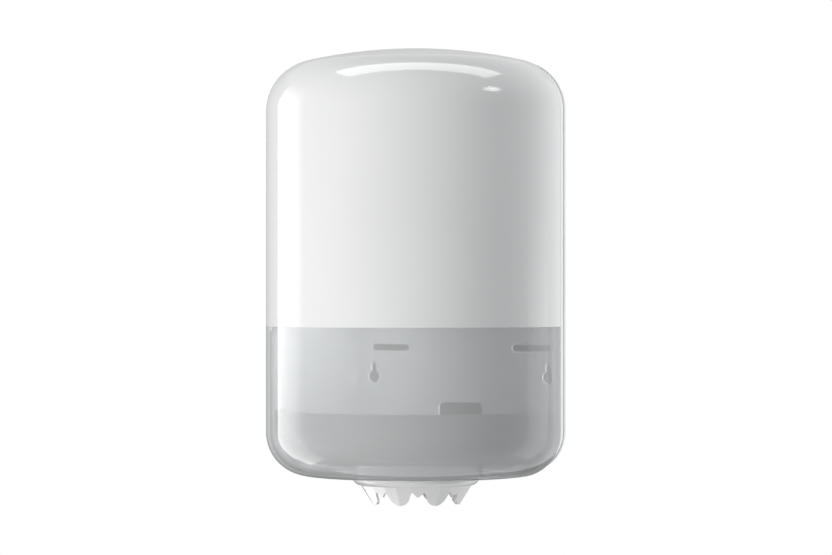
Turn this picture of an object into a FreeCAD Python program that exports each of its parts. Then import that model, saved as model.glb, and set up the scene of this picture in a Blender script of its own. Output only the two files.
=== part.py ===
# Centrefeed roll dispenser for a wall, as separate moulded pieces with their joints' geometry.
#
# Frame: +X is to the right of someone who faces the wall, so the front faces -Y. Y=0 is
# the wall and +Z is up. The origin lies on the wall at mid height of the casing, which is
# the centre of the four screw keyholes.
# The front cover is a body of revolution about the nozzle axis, a vertical line in front
# of the wall. It folds down about two pins at the bottom edge, behind the nozzle axis.

import FreeCAD, Part
import math
import os

import Sketcher

doc = FreeCAD.newDocument("centrefeed_dispenser")
size = doc.addObject("Spreadsheet::Sheet", "size")

# Driving dimensions, in millimetres and degrees.
driving_dimensions = [
    # Casing: the outline that the cover and the back shell share at the parting line.
    ("casing_height", 338),
    ("casing_radius", 118),
    ("crown_top", 390),
    ("crown_bottom", 1240),
    ("fillet_top", 40.3),
    ("fillet_bottom", 34.3),
    ("nozzle_axis_depth", 108),
    ("seam_depth", 104),
    ("seam_gap", 0.4),
    # Front cover: white upper part, smoky window below it.
    ("cover_wall", 3),
    ("window_height", 120.2),
    ("tongue_wall", 1.9),
    ("tongue_reach", 8),
    ("tongue_root", 4),
    ("tongue_clearance", 0.1),
    ("tongue_end_angle", 6),
    # Back shell: tapers from the parting line to the wall.
    ("shell_wall", 3),
    ("panel_wall", 3),
    ("wall_half_width", 89.5),
    ("wall_fillet_top", 40),
    ("wall_fillet_bottom", 33),
    ("wall_rim_depth", 4),
    ("wall_rim_step", 0.8),
    ("lip_reach", 5),
    ("lip_root", 6),
    ("lip_wall", 2.2),
    ("lip_clearance", 0.3),
    ("lip_sink", 0.5),
    ("lip_low_end", 150),
    ("lip_lock_gap", 26),
    # Openings in the back panel.
    ("keyhole_spacing_x", 151),
    ("keyhole_spacing_z", 182.6),
    ("keyhole_radius", 5),
    ("neck_width", 4.5),
    ("neck_reach", 11.6),
    ("slot_centre_x", 60.8),
    ("slot_centre_z", 67.4),
    ("slot_width", 33),
    ("slot_height", 5.3),
    ("notch_width", 37.4),
    ("notch_top_z", 112),
    ("notch_height", 32),
    ("notch_corner", 4),
    # Bottom hinge.
    ("hinge_height", 8.2),
    ("knuckle_radius", 4.5),
    ("knuckle_root", 12),
    ("knuckle_length", 6),
    ("knuckle_gap", 0.4),
    ("cover_knuckle_length", 13),
    ("hinge_inner_x", 56),
    ("pin_radius", 1.75),
    ("pin_clearance", 0.05),
    ("pin_head_radius", 3),
    ("pin_head_length", 1.2),
    ("hinge_relief", 7.6),
    ("hinge_relief_half_width", 102),
    ("hinge_relief_height", 12),
    # Roll tray.
    ("tray_side_gap", 4),
    ("tray_wall", 2.5),
    ("tray_fillet", 28),
    ("tray_rim_height", 54.4),
    ("tray_floor_height", 14),
    ("tray_end_corner", 6),
    ("tray_rear_half_width", 70),
    ("tray_flange_height", 17),
    ("tray_flange_half_width", 62),
    ("tray_seat_gap", 0.3),
    ("tray_boss_length", 5),
    ("hook_half_width", 17),
    ("hook_wall", 5),
    ("hook_end_gap", 0.5),
    # Nozzle.
    ("collar_radius", 49.6),
    ("collar_low_radius", 45.6),
    ("collar_drop", 4.3),
    ("collar_shoulder_drop", 0.7),
    ("collar_bulge", 7),
    ("collar_wall", 2.5),
    ("collar_slot_radius", 51),
    ("spigot_radius", 38),
    ("spigot_bore", 34.5),
    ("spigot_rise", 6),
    ("spigot_clearance", 0.2),
    ("petal_count", 8),
    ("petal_ring_depth", 7),
    ("petal_ring_radius", 43.6),
    ("petal_ring_clearance", 0.1),
    ("petal_flange_wall", 2),
    ("petal_ridge_radius", 46),
    ("petal_break_radius", 44),
    ("petal_break_angle", 14),
    ("petal_tip_scale", 0.79),
    ("petal_length", 14.9),
    ("petal_wall", 2.2),
    ("petal_tip_round", 7.4),
    ("petal_valley_depth", 4.2),
    ("petal_valley_half_width", 4.9),
    ("tooth_length", 4.3),
    ("ring_radius", 46),
    ("ring_height", 5),
    ("ring_grip_radius", 3),
    ("ring_grip_count", 8),
    ("guide_flange_radius", 37.4),
    ("guide_flange_wall", 1.5),
    ("guide_wall", 1.6),
    ("guide_mouth_radius", 33.6),
    ("guide_throat_radius", 11),
    ("guide_depth", 20),
    ("guide_throat_length", 5),
    # Lock at the top of the back shell.
    ("lock_depth", 84),
    ("button_radius", 7.5),
    ("button_clearance", 0.4),
    ("button_recess", 0.8),
    ("button_length", 11),
    ("key_slot_width", 1.6),
    ("key_slot_length", 7.6),
    ("key_slot_depth", 2.8),
    ("stem_radius", 3.2),
    ("stem_clearance", 0.3),
    ("housing_half_width", 14),
    ("housing_half_depth", 11),
    ("housing_height", 22),
    ("base_wall", 2),
    ("base_spigot_height", 1.5),
    ("base_spigot_clearance", 0.1),
    ("arm_gap", 0.3),
    ("arm_wall", 4),
    ("arm_half_width", 6),
    ("ear_half_width", 26),
    ("ear_half_depth", 5),
    ("ear_wall", 3),
    ("lock_boss_radius", 4.5),
    ("lock_boss_length", 6),
    ("lock_screw_x", 20),
    ("spring_radius", 5),
    ("spring_wire", 0.5),
    ("spring_turns", 5),
    ("tooth_bite", 4),
    ("tooth_wall", 3),
    # Catch inside the top of the cover.
    ("catch_gap", 0.4),
    ("catch_wall", 2.5),
    ("catch_half_width", 15),
    ("catch_plate_length", 22),
    ("catch_plate_drop", 8),
    ("catch_lip_drop", 21),
    ("catch_rim_gap", 0.8),
    ("catch_screw_x", 9),
    ("catch_screw_reach", 12),
    ("catch_boss_radius", 4),
    # Screws.
    ("screw_shank_radius", 1.75),
    ("screw_head_radius", 3.5),
    ("screw_head_height", 2.2),
    ("screw_hole_clearance", 0.25),
    ("screw_thread_length", 4.5),
    ("tray_screw_x", 50),
    ("tray_screw_rise", 9),
    ("tray_boss_radius", 4.5),
    # How far the cuts run past the solid that they cut.
    ("cut_margin", 2),
]
for number, (alias, amount) in enumerate(driving_dimensions, start=1):
    size.set("A%d" % number, alias)
    size.set("B%d" % number, str(amount))
    size.setAlias("B%d" % number, alias)
doc.recompute()

# Length in millimetres below which a coordinate counts as nought.
tolerance = 1e-7

# Named places that several pieces share, as expressions of the driving dimensions.
half_height = "size.casing_height/2"
low_z = "-size.casing_height/2"
above_casing_z = "(size.casing_height/2 + size.cut_margin)"
below_casing_z = "(-size.casing_height/2 - size.cut_margin)"
hinge_z = "(size.hinge_height - size.casing_height/2)"
window_z = "(size.window_height - size.casing_height/2)"
tray_floor_low_z = "(size.tray_floor_height - size.casing_height/2)"
tray_floor_top_z = "(size.tray_floor_height + size.tray_wall - size.casing_height/2)"
tray_rim_z = "(size.tray_rim_height - size.casing_height/2)"
tray_radius = "(size.casing_radius - size.cover_wall - size.tray_side_gap)"
tray_rear_y = "(size.nozzle_axis_depth - size.panel_wall - size.tray_boss_length - size.tray_seat_gap)"
tray_screw_z = "(%s + size.tray_screw_rise)" % tray_floor_low_z
collar_low_z = "(-size.casing_height/2 - size.collar_drop)"
petal_ring_top_z = "(%s + size.petal_ring_depth)" % collar_low_z
spigot_top_z = "(%s + size.spigot_rise)" % tray_floor_top_z
knuckle_outer_x = (
    "(size.hinge_inner_x + size.knuckle_length + size.cover_knuckle_length + 2*size.knuckle_gap)")
hinge_outer_x = "(%s + size.knuckle_length)" % knuckle_outer_x
housing_top_z = "(size.casing_height/2 - size.shell_wall - size.lock_boss_length)"
housing_low_z = "(%s - size.housing_height)" % housing_top_z
base_low_z = "(%s - size.base_wall)" % housing_low_z
button_top_z = "(size.casing_height/2 - size.button_recess)"
button_low_z = "(%s - size.button_length)" % button_top_z
arm_top_z = "(%s - size.arm_gap)" % base_low_z
catch_top_z = "(size.casing_height/2 - size.catch_plate_drop)"
catch_low_z = "(size.casing_height/2 - size.catch_lip_drop)"
catch_rear_depth = "(size.seam_depth + size.catch_rim_gap)"
tooth_rear_depth = "(%s + size.catch_wall + size.catch_gap)" % catch_rear_depth
pilot_radius = "size.screw_shank_radius"
screw_hole_radius = "(size.screw_shank_radius + size.screw_hole_clearance)"


def value(expression):
    """Number that an expression of the sheet's cells gives."""
    result = size.evalExpression(expression)
    return float(getattr(result, "Value", result))


def make_body(name, depth=None, turn=None):
    """PartDesign body, optionally moved out from the wall and turned about Z."""
    body = doc.addObject("PartDesign::Body", name)
    body.Label = name
    if turn is not None:
        body.Placement = FreeCAD.Placement(
            FreeCAD.Vector(0, 0, 0), FreeCAD.Rotation(FreeCAD.Vector(0, 0, 1), turn))
    if depth is not None:
        body.setExpression("Placement.Base.y", "-(%s)" % depth)
    return body


def make_sketch(body, name, role, offset=None):
    """Sketch on one of the body's own origin planes, moved along that plane's normal."""
    sketch = body.newObject("Sketcher::SketchObject", name)
    plane = [f for f in body.Origin.OriginFeatures if f.Role == role][0]
    sketch.AttachmentSupport = (plane, [""])
    sketch.MapMode = "FlatFace"
    if offset is not None:
        sketch.setExpression("AttachmentOffset.Base.z", offset)
    return sketch


def drive(sketch, constraint, expression):
    """Add a constraint whose value follows an expression of the sheet."""
    index = sketch.addConstraint(constraint)
    sketch.setExpression("Constraints[%d]" % index, expression)


def place_coordinate(sketch, kind, geometry, point, expression, axis):
    """Fix one coordinate of a point, on the sketch's own axis where it is nought."""
    distance = value(expression)
    if abs(distance) < tolerance:
        sketch.addConstraint(Sketcher.Constraint("PointOnObject", geometry, point, axis))
    else:
        drive(sketch, Sketcher.Constraint(kind, -1, 1, geometry, point, distance), expression)


def place_point(sketch, geometry, point, across, along):
    """Fix a vertex at coordinates that follow the sheet."""
    place_coordinate(sketch, "DistanceX", geometry, point, across, -2)
    place_coordinate(sketch, "DistanceY", geometry, point, along, -1)


def add_loop(sketch, corners):
    """Closed loop of lines and arcs.

    Each corner is (across, along) or (across, along, radius, side): the last two turn the
    edge that leaves the corner into an arc, whose centre lies to the left (side 1) or to
    the right (side -1) of the straight way to the next corner.
    """
    first = sketch.GeometryCount
    count = len(corners)
    points = [FreeCAD.Vector(value(c[0]), value(c[1]), 0) for c in corners]
    ends = []
    for i, corner in enumerate(corners):
        start = points[i]
        stop = points[(i + 1) % count]
        if len(corner) == 2:
            sketch.addGeometry(Part.LineSegment(start, stop), False)
            ends.append((1, 2))
            continue
        radius = value(corner[2])
        chord = stop - start
        left = FreeCAD.Vector(-chord.y, chord.x, 0).normalize()
        rise = math.sqrt(max(radius ** 2 - (chord.Length / 2) ** 2, 0))
        centre = (start + stop) * 0.5 + left * rise * corner[3]
        circle = Part.Circle(centre, FreeCAD.Vector(0, 0, 1), radius)
        from_start = math.atan2(start.y - centre.y, start.x - centre.x)
        from_stop = math.atan2(stop.y - centre.y, stop.x - centre.x)
        if corner[3] > 0:
            sketch.addGeometry(Part.ArcOfCircle(circle, from_start, from_stop), False)
            ends.append((1, 2))
        else:
            sketch.addGeometry(Part.ArcOfCircle(circle, from_stop, from_start), False)
            ends.append((2, 1))
    for i, corner in enumerate(corners):
        following = (i + 1) % count
        sketch.addConstraint(Sketcher.Constraint(
            "Coincident", first + i, ends[i][1], first + following, ends[following][0]))
        place_point(sketch, first + i, ends[i][0], corner[0], corner[1])
        if len(corner) > 2:
            round_edge(sketch, first + i, corner, points[i], points[following])


def round_edge(sketch, geometry, corner, start, stop):
    """Fix an arc between two placed ends: by its radius, or as a half circle by its centre."""
    radius = value(corner[2])
    if (stop - start).Length < 2 * radius - tolerance:
        drive(sketch, Sketcher.Constraint("Radius", geometry, radius), corner[2])
    elif abs(stop.y - start.y) < tolerance:
        place_coordinate(sketch, "DistanceY", geometry, 3, corner[1], -1)
    else:
        place_coordinate(sketch, "DistanceX", geometry, 3, corner[0], -2)


def add_rectangle(sketch, left, right, low, high):
    """Closed rectangle between two lefts-to-right and two low-to-high expressions."""
    add_loop(sketch, [(left, low), (right, low), (right, high), (left, high)])


def add_circle(sketch, across, along, radius):
    """Circle whose centre and radius follow the sheet."""
    centre = FreeCAD.Vector(value(across), value(along), 0)
    circle = Part.Circle(centre, FreeCAD.Vector(0, 0, 1), value(radius))
    index = sketch.addGeometry(circle, False)
    place_point(sketch, index, 3, across, along)
    drive(sketch, Sketcher.Constraint("Radius", index, value(radius)), radius)


def add_rounded_slot(sketch, across, low, high, radius):
    """Upright slot from a low centre to a rounded top."""
    add_loop(sketch, [
        ("%s - %s" % (across, radius), low),
        ("%s + %s" % (across, radius), low),
        ("%s + %s" % (across, radius), "%s - %s" % (high, radius), radius, 1),
        ("%s - %s" % (across, radius), "%s - %s" % (high, radius)),
    ])


def add_level_slot(sketch, across, along):
    """Level slot with round ends, centred on a point."""
    half = "(size.slot_width/2 - size.slot_height/2)"
    radius = "size.slot_height/2"
    add_loop(sketch, [
        ("%s - %s" % (across, half), "%s - %s" % (along, radius)),
        ("%s + %s" % (across, half), "%s - %s" % (along, radius), radius, 1),
        ("%s + %s" % (across, half), "%s + %s" % (along, radius)),
        ("%s - %s" % (across, half), "%s + %s" % (along, radius), radius, 1),
    ])


def outline_shape(half_width, inset, fillet_top, fillet_bottom):
    """Expressions of a casing outline that is drawn inwards by inset."""
    return {
        "half": "(%s - %s)" % (half_width, inset),
        "top": "(size.casing_height/2 - %s)" % inset,
        "crown_top": "(size.crown_top - %s)" % inset,
        "crown_bottom": "(size.crown_bottom - %s)" % inset,
        "fillet_top": "(%s - %s)" % (fillet_top, inset),
        "fillet_bottom": "(%s - %s)" % (fillet_bottom, inset),
    }


def seam_outline(inset):
    """Casing outline at the parting line and in the revolved front."""
    return outline_shape("size.casing_radius", inset, "size.fillet_top", "size.fillet_bottom")


def wall_outline(inset):
    """Casing outline at the wall."""
    return outline_shape(
        "size.wall_half_width", inset, "size.wall_fillet_top", "size.wall_fillet_bottom")


def outline_arcs(shape):
    """Arcs of the right half of an outline: centre, radius, lower and upper angle."""
    half = value(shape["half"])
    top = value(shape["top"])
    crown_top = value(shape["crown_top"])
    crown_bottom = value(shape["crown_bottom"])
    fillet_top = value(shape["fillet_top"])
    fillet_bottom = value(shape["fillet_bottom"])
    high = top - crown_top + math.sqrt((crown_top - fillet_top) ** 2 - (half - fillet_top) ** 2)
    low = crown_bottom - top - math.sqrt(
        (crown_bottom - fillet_bottom) ** 2 - (half - fillet_bottom) ** 2)
    high_angle = math.atan2(high - (top - crown_top), half - fillet_top)
    low_angle = math.atan2(low - (crown_bottom - top), half - fillet_bottom)
    return {
        "crown_top": ((0, top - crown_top), crown_top, high_angle),
        "fillet_top": ((half - fillet_top, high), fillet_top, high_angle),
        "fillet_bottom": ((half - fillet_bottom, low), fillet_bottom, low_angle),
        "crown_bottom": ((0, crown_bottom - top), crown_bottom, low_angle),
        "half": half,
    }


def circle_arc(centre, radius, start, stop):
    """Arc of a circle in a sketch, counter-clockwise from start to stop."""
    middle = FreeCAD.Vector(centre[0], centre[1], 0)
    return Part.ArcOfCircle(Part.Circle(middle, FreeCAD.Vector(0, 0, 1), radius), start, stop)


def add_half_outline(sketch, shape):
    """Right half of a casing outline, closed along the vertical axis, for a revolution."""
    arcs = outline_arcs(shape)
    half = arcs["half"]
    top = value(shape["top"])
    centre, radius, high_angle = arcs["crown_top"]
    crown = sketch.addGeometry(circle_arc(centre, radius, high_angle, math.pi / 2), False)
    high_centre, radius, high_angle = arcs["fillet_top"]
    shoulder = sketch.addGeometry(circle_arc(high_centre, radius, 0, high_angle), False)
    low_centre = arcs["fillet_bottom"][0]
    side = sketch.addGeometry(Part.LineSegment(
        FreeCAD.Vector(half, high_centre[1], 0), FreeCAD.Vector(half, low_centre[1], 0)), False)
    centre, radius, low_angle = arcs["fillet_bottom"]
    heel = sketch.addGeometry(circle_arc(centre, radius, low_angle, 0), False)
    centre, radius, low_angle = arcs["crown_bottom"]
    base = sketch.addGeometry(circle_arc(centre, radius, -math.pi / 2, low_angle), False)
    axis = sketch.addGeometry(Part.LineSegment(
        FreeCAD.Vector(0, -top, 0), FreeCAD.Vector(0, top, 0)), False)
    sketch.addConstraint([
        Sketcher.Constraint("Tangent", crown, 1, shoulder, 2),
        Sketcher.Constraint("Tangent", shoulder, 1, side, 1),
        Sketcher.Constraint("Tangent", side, 2, heel, 2),
        Sketcher.Constraint("Tangent", heel, 1, base, 2),
        Sketcher.Constraint("Coincident", crown, 2, axis, 2),
        Sketcher.Constraint("Coincident", base, 1, axis, 1),
        Sketcher.Constraint("PointOnObject", axis, 1, -2),
        Sketcher.Constraint("PointOnObject", axis, 2, -2),
        Sketcher.Constraint("PointOnObject", crown, 3, -2),
        Sketcher.Constraint("PointOnObject", base, 3, -2),
        Sketcher.Constraint("Vertical", side),
    ])
    drive(sketch, Sketcher.Constraint("DistanceY", -1, 1, axis, 2, top), shape["top"])
    drive(sketch, Sketcher.Constraint("DistanceY", axis, 1, -1, 1, top), shape["top"])
    drive(sketch, Sketcher.Constraint("DistanceX", -1, 1, side, 1, half), shape["half"])
    for index, name in ((crown, "crown_top"), (shoulder, "fillet_top"),
                        (heel, "fillet_bottom"), (base, "crown_bottom")):
        drive(sketch, Sketcher.Constraint("Radius", index, value(shape[name])), shape[name])


def add_outline(sketch, shape):
    """Whole casing outline, for pads and lofts."""
    arcs = outline_arcs(shape)
    half = arcs["half"]
    centre, radius, high = arcs["crown_top"]
    crown = sketch.addGeometry(circle_arc(centre, radius, high, math.pi - high), False)
    crown_z = centre[1]
    centre, radius, low = arcs["crown_bottom"]
    base = sketch.addGeometry(circle_arc(centre, radius, math.pi - low, 2 * math.pi + low), False)
    base_z = centre[1]
    (across, high_z), radius, high = arcs["fillet_top"]
    shoulder_right = sketch.addGeometry(circle_arc((across, high_z), radius, 0, high), False)
    shoulder_left = sketch.addGeometry(
        circle_arc((-across, high_z), radius, math.pi - high, math.pi), False)
    (across, low_z_value), radius, low = arcs["fillet_bottom"]
    heel_right = sketch.addGeometry(circle_arc((across, low_z_value), radius, low, 0), False)
    heel_left = sketch.addGeometry(
        circle_arc((-across, low_z_value), radius, math.pi, math.pi - low), False)
    sides = []
    for sign in (1, -1):
        sides.append(sketch.addGeometry(Part.LineSegment(
            FreeCAD.Vector(sign * half, high_z, 0),
            FreeCAD.Vector(sign * half, low_z_value, 0)), False))
    right, left = sides
    sketch.addConstraint([
        Sketcher.Constraint("Tangent", crown, 1, shoulder_right, 2),
        Sketcher.Constraint("Tangent", shoulder_right, 1, right, 1),
        Sketcher.Constraint("Tangent", right, 2, heel_right, 2),
        Sketcher.Constraint("Tangent", heel_right, 1, base, 2),
        Sketcher.Constraint("Tangent", base, 1, heel_left, 2),
        Sketcher.Constraint("Tangent", heel_left, 1, left, 2),
        Sketcher.Constraint("Tangent", left, 1, shoulder_left, 2),
        Sketcher.Constraint("Tangent", shoulder_left, 1, crown, 2),
        Sketcher.Constraint("PointOnObject", crown, 3, -2),
        Sketcher.Constraint("PointOnObject", base, 3, -2),
        Sketcher.Constraint("Vertical", right),
        Sketcher.Constraint("Vertical", left),
    ])
    drive(sketch, Sketcher.Constraint("DistanceX", -1, 1, right, 1, half), shape["half"])
    drive(sketch, Sketcher.Constraint("DistanceX", left, 1, -1, 1, half), shape["half"])
    drive(sketch, Sketcher.Constraint("DistanceY", crown, 3, -1, 1, -crown_z),
          "%s - %s" % (shape["crown_top"], shape["top"]))
    drive(sketch, Sketcher.Constraint("DistanceY", -1, 1, base, 3, base_z),
          "%s - %s" % (shape["crown_bottom"], shape["top"]))
    for index, name in ((crown, "crown_top"), (base, "crown_bottom"),
                        (shoulder_right, "fillet_top"), (shoulder_left, "fillet_top"),
                        (heel_right, "fillet_bottom"), (heel_left, "fillet_bottom")):
        drive(sketch, Sketcher.Constraint("Radius", index, value(shape[name])), shape[name])


def extrude(body, kind, name, sketch, length, backwards=False, midplane=False):
    """Pad or Pocket of a sketch. A sketch on the XZ plane faces the front, -Y."""
    feature = body.newObject("PartDesign::" + kind, name)
    feature.Profile = sketch
    feature.Length = value(length)
    feature.setExpression("Length", length)
    feature.Reversed = backwards
    feature.Midplane = midplane
    body.Tip = feature
    doc.recompute()
    return feature


def turn_profile(body, kind, name, sketch, angle="360", backwards=False, midplane=False):
    """Revolution or Groove of a sketch about its vertical axis."""
    feature = body.newObject("PartDesign::" + kind, name)
    feature.Profile = sketch
    feature.ReferenceAxis = (sketch, ["V_Axis"])
    feature.Angle = value(angle)
    feature.setExpression("Angle", angle)
    feature.Reversed = backwards
    feature.Midplane = midplane
    body.Tip = feature
    doc.recompute()
    return feature


def loft(body, kind, name, sketches):
    """Ruled AdditiveLoft or SubtractiveLoft through sketches."""
    feature = body.newObject("PartDesign::" + kind, name)
    feature.Profile = sketches[0]
    feature.Sections = sketches[1:]
    feature.Ruled = True
    body.Tip = feature
    doc.recompute()
    return feature


def polar_pattern(body, name, originals, count):
    """Copies of features about the body's Z axis."""
    feature = body.newObject("PartDesign::PolarPattern", name)
    feature.Originals = originals
    axis = [f for f in body.Origin.OriginFeatures if f.Role == "Z_Axis"][0]
    feature.Axis = (axis, [""])
    feature.Angle = 360
    feature.setExpression("Occurrences", count)
    body.Tip = feature
    doc.recompute()
    return feature


def mirror(body, name, originals):
    """Mirror features to the other side of the YZ plane."""
    feature = body.newObject("PartDesign::Mirrored", name)
    feature.Originals = originals
    plane = [f for f in body.Origin.OriginFeatures if f.Role == "YZ_Plane"][0]
    feature.MirrorPlane = (plane, [""])
    body.Tip = feature
    doc.recompute()
    return feature


def cover_shell(body):
    """Hollow front of the casing: half a revolution and a short straight skirt behind it."""
    skirt = "(size.nozzle_axis_depth - size.seam_depth - size.seam_gap)"
    outer = make_sketch(body, body.Name + "_outer_profile", "XZ_Plane")
    add_half_outline(outer, seam_outline("0"))
    turn_profile(body, "Revolution", body.Name + "_front", outer, "180", backwards=True)
    skirt_outer = make_sketch(body, body.Name + "_skirt_outline", "XZ_Plane")
    add_outline(skirt_outer, seam_outline("0"))
    extrude(body, "Pad", body.Name + "_skirt", skirt_outer, skirt, backwards=True)
    inner = make_sketch(body, body.Name + "_inner_profile", "XZ_Plane")
    add_half_outline(inner, seam_outline("size.cover_wall"))
    turn_profile(body, "Groove", body.Name + "_hollow", inner, "180", backwards=True)
    skirt_inner = make_sketch(body, body.Name + "_skirt_hollow_outline", "XZ_Plane")
    add_outline(skirt_inner, seam_outline("size.cover_wall"))
    extrude(body, "Pocket", body.Name + "_skirt_hollow", skirt_inner, skirt, backwards=False)


def cut_level(body, low, high):
    """Take away everything between two levels."""
    sketch = make_sketch(body, body.Name + "_level", "XZ_Plane")
    reach = "(size.casing_radius + size.cut_margin)"
    add_rectangle(sketch, "-" + reach, reach, low, high)
    extrude(body, "Pocket", body.Name + "_cut_level", sketch, "2*" + reach, midplane=True)


def make_cover_upper():
    """Opaque white upper part of the cover."""
    body = make_body("cover_upper", "size.nozzle_axis_depth")
    cover_shell(body)
    cut_level(body, below_casing_z, window_z)
    bosses = make_sketch(body, "catch_boss_circles", "XY_Plane", catch_top_z)
    pilots = make_sketch(body, "catch_pilot_circles", "XY_Plane", catch_top_z)
    boss_y = "(size.nozzle_axis_depth - size.seam_depth - size.catch_screw_reach)"
    for across in ("size.catch_screw_x", "-size.catch_screw_x"):
        add_circle(bosses, across, boss_y, "size.catch_boss_radius")
        add_circle(pilots, across, boss_y, pilot_radius)
    extrude(body, "Pad", "catch_bosses", bosses, "size.catch_plate_drop - size.cover_wall/2")
    extrude(body, "Pocket", "catch_pilots", pilots, "size.screw_thread_length", backwards=True)
    return body


def knuckle_outline(sketch, depth, reach):
    """Side view of a hinge knuckle: a barrel with a root that runs back into its shell."""
    low = "%s - size.knuckle_radius" % hinge_z
    high = "%s + size.knuckle_radius" % hinge_z
    side = 1 if value(reach) > 0 else -1
    add_loop(sketch, [
        (depth, low),
        ("%s + %s" % (depth, reach), low),
        ("%s + %s" % (depth, reach), high),
        (depth, high, "size.knuckle_radius", side),
    ])


def make_cover_window():
    """Smoky lower part of the cover, with its tongue, nozzle slot and hinge knuckles."""
    body = make_body("cover_window", "size.nozzle_axis_depth")
    cover_shell(body)
    cut_level(body, window_z, above_casing_z)

    tongue = make_sketch(body, "window_tongue_profile", "YZ_Plane")
    outer_y = "-size.casing_radius + size.cover_wall"
    add_rectangle(
        tongue,
        outer_y + " + size.tongue_clearance", outer_y + " + size.tongue_wall",
        window_z, window_z + " + size.tongue_reach")
    root = make_sketch(body, "window_tongue_root_profile", "YZ_Plane")
    add_rectangle(
        root,
        outer_y + " - size.tongue_clearance", outer_y + " + size.tongue_wall",
        window_z + " - size.tongue_root", window_z)
    sweep = "180 - 2*size.tongue_end_angle"
    turn_profile(body, "Revolution", "window_tongue_root", root, sweep, midplane=True)
    turn_profile(body, "Revolution", "window_tongue", tongue, sweep, midplane=True)

    nozzle_slot = make_sketch(body, "nozzle_slot_outline", "XY_Plane", below_casing_z)
    radius = "size.collar_slot_radius"
    add_loop(nozzle_slot, [
        ("-" + radius, "0", radius, 1),
        (radius, "0"),
        (radius, "size.nozzle_axis_depth"),
        ("-" + radius, "size.nozzle_axis_depth"),
    ])
    extrude(
        body, "Pocket", "nozzle_slot", nozzle_slot, "size.cut_margin + size.tray_floor_height",
        backwards=True)

    hinge_y = "(size.nozzle_axis_depth - size.seam_depth)"
    knuckle_x = "(size.hinge_inner_x + size.knuckle_length + size.knuckle_gap)"
    side_view = make_sketch(body, "cover_knuckle_side", "YZ_Plane", knuckle_x)
    knuckle_outline(side_view, hinge_y, "-size.knuckle_root")
    knuckle = extrude(body, "Pad", "cover_knuckle", side_view, "size.cover_knuckle_length")
    bore = make_sketch(body, "cover_knuckle_bore_circle", "YZ_Plane", knuckle_x)
    add_circle(bore, hinge_y, hinge_z, "size.pin_radius + size.pin_clearance")
    drilled = extrude(
        body, "Pocket", "cover_knuckle_bore", bore, "size.cover_knuckle_length", backwards=True)

    notches = make_sketch(body, "knuckle_notches", "XY_Plane", below_casing_z)
    near = "%s - size.knuckle_radius - size.knuckle_gap" % hinge_y
    for left, right in (
            ("size.hinge_inner_x - size.pin_head_length",
             "size.hinge_inner_x + size.knuckle_length"),
            (knuckle_outer_x, hinge_outer_x)):
        add_rectangle(
            notches, left + " - size.knuckle_gap", right + " + size.knuckle_gap",
            near, hinge_y + " + size.knuckle_radius")
    cut = extrude(
        body, "Pocket", "knuckle_notch", notches,
        "size.cut_margin + size.hinge_height + size.knuckle_radius + size.knuckle_gap",
        backwards=True)
    mirror(body, "left_hinge", [knuckle, drilled, cut])
    return body


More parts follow.
